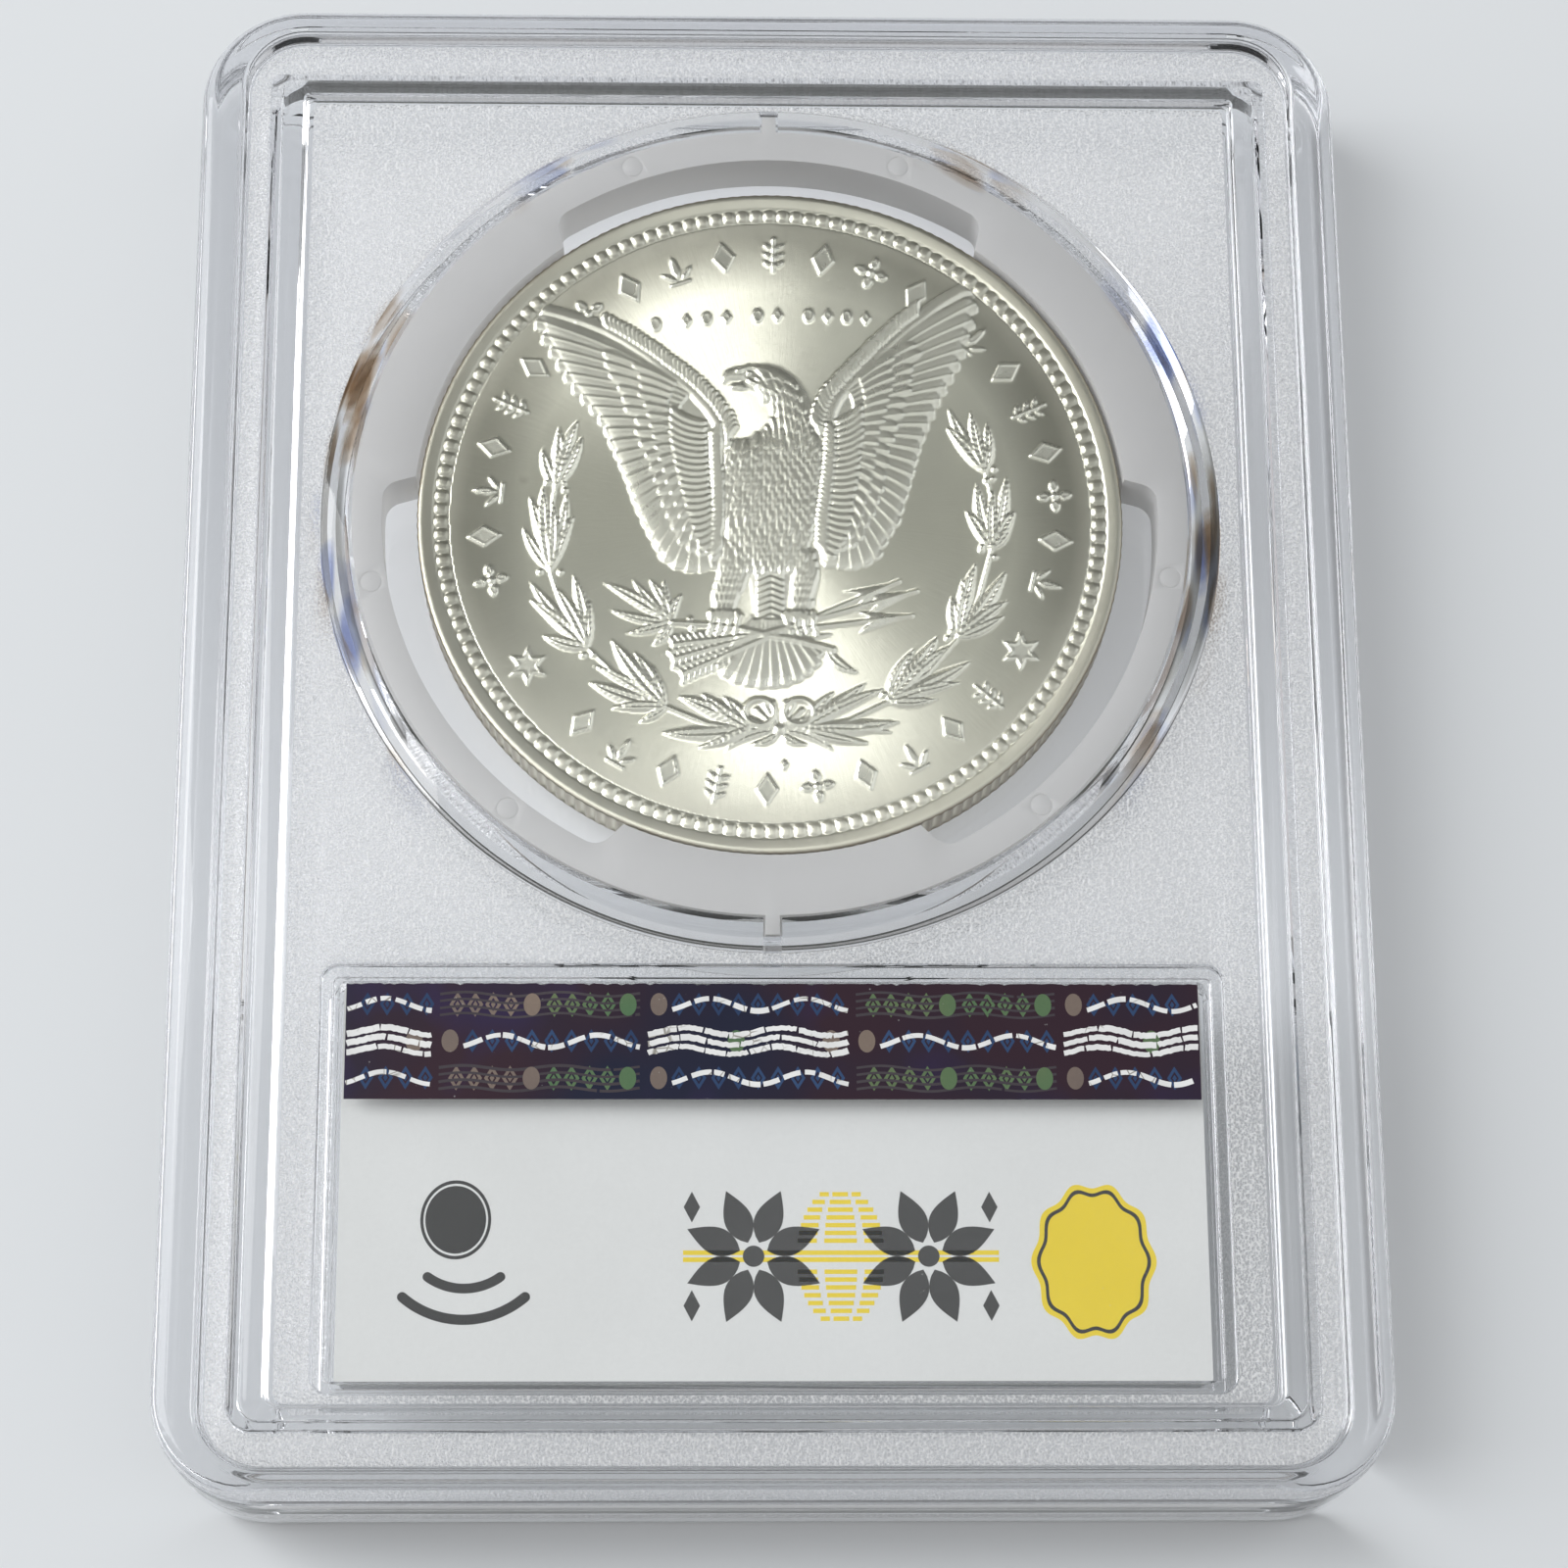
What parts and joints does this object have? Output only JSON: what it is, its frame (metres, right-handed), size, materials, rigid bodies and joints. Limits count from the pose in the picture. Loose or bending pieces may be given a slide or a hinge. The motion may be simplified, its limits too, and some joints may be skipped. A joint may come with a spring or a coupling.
{
  "type": "graded coin slab",
  "caption": "Clear sealed holder for one dollar-size coin: two welded shells, a three-prong coin insert, paper labels, a foil strip and a contactless inlay.",
  "frame": {"origin": "centre of the footprint, on the plane the front rim rests on", "axes": "+X across the slab, +Y from the label end towards the coin end, +Z out of the rear face, which lies on top"},
  "size_m": [0.0624, 0.0826, 0.008],
  "materials": {
    "clear_polystyrene": "polished, with fine frosted panels",
    "translucent_insert": "satin translucent white",
    "coin_silver": "struck silver with lustre and light golden toning",
    "label_paper": "uncoated near-white paper, printed",
    "strip_foil": "metallised navy film with white wave print",
    "inlay_film": "clear polyester film",
    "etched_aluminium": "thin etched foil",
    "chip_epoxy": "black epoxy"
  },
  "bodies": {
    "holder": {"rear_shell": "clear_polystyrene", "front_shell": "clear_polystyrene", "coin_insert": "translucent_insert", "rear_label": "label_paper", "front_label": "label_paper", "security_strip": "strip_foil", "nfc_film": "inlay_film", "nfc_antenna": "etched_aluminium", "nfc_chip": "chip_epoxy"},
    "coin": {"coin": "coin_silver"}
  },
  "joints": [
    {"name": "coin_turn", "type": "hinge", "parent": "holder", "child": "coin", "pos_m": [0, 0.012, 0.004], "axis": [0, 0, 1], "continuous": true}
  ]
}
